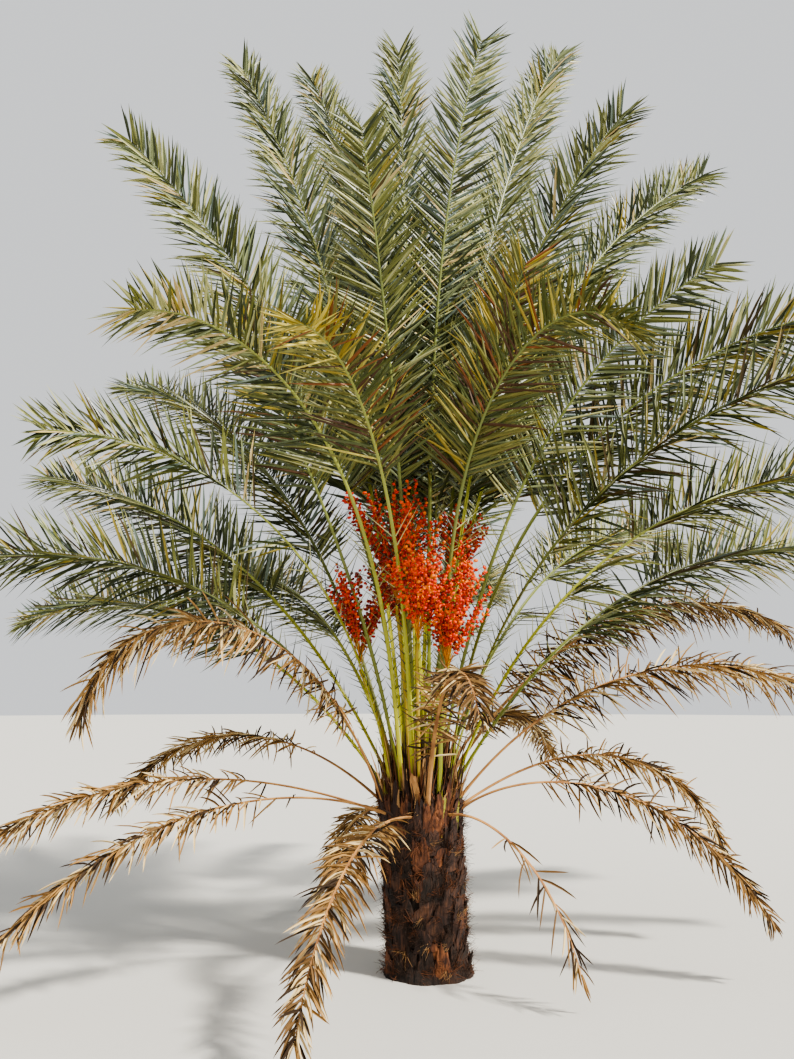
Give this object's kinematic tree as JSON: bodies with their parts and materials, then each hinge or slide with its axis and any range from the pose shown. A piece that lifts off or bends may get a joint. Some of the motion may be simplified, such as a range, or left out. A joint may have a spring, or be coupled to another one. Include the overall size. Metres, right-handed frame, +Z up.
{
  "type": "date palm tree",
  "caption": "Young date palm with a short fibrous trunk, a full crown of arching feather fronds, a skirt of dead brown fronds and orange-red fruit bunches.",
  "frame": {"origin": "middle of the flat cut under the trunk, at ground level", "axes": "+Z up; +X to the right and +Y away from the viewer in the picture"},
  "size_m": [6.5232, 5.3373, 6.278],
  "materials": {
    "bark": "rough fibre and old leaf bases",
    "green_blade": "waxy grey-green leaflets",
    "tinted_blade": "yellowing leaflets",
    "dead_blade": "dry brown leaflets",
    "dates": "smooth ripening dates"
  },
  "bodies": {
    "root": {"bunch_back": "dates", "bunch_centre": "dates", "bunch_far": "dates", "bunch_left": "dates", "bunch_right": "dates", "bunch_top": "dates", "frond_01": "green_blade", "frond_02": "green_blade", "frond_03": "green_blade", "frond_04": "green_blade", "frond_05": "green_blade", "frond_06": "green_blade", "frond_07": "green_blade", "frond_08": "green_blade", "frond_09": "green_blade", "frond_10": "green_blade", "frond_11": "green_blade", "frond_12": "tinted_blade", "frond_13": "green_blade", "frond_14": "green_blade", "frond_15": "green_blade", "frond_16": "tinted_blade", "frond_17": "tinted_blade", "frond_18": "green_blade", "frond_19": "green_blade", "frond_20": "green_blade", "frond_21": "green_blade", "frond_22": "green_blade", "frond_23": "green_blade", "frond_24": "green_blade", "frond_25": "green_blade", "frond_26": "green_blade", "frond_27": "green_blade", "frond_28": "green_blade", "frond_29": "green_blade", "frond_30": "green_blade", "frond_31": "green_blade", "frond_32": "green_blade", "frond_33": "dead_blade", "frond_34_end": "tinted_blade", "frond_34_foot": "tinted_blade", "frond_35": "dead_blade", "frond_36_end": "dead_blade", "frond_36_foot": "dead_blade", "frond_37_end": "dead_blade", "frond_37_foot": "dead_blade", "frond_38": "dead_blade", "frond_39": "dead_blade", "frond_40": "dead_blade", "frond_41": "dead_blade", "frond_42": "dead_blade", "frond_43": "dead_blade", "frond_44": "dead_blade", "frond_45": "dead_blade", "frond_46": "dead_blade", "frond_47": "dead_blade", "trunk": "bark"}
  },
  "joints": []
}
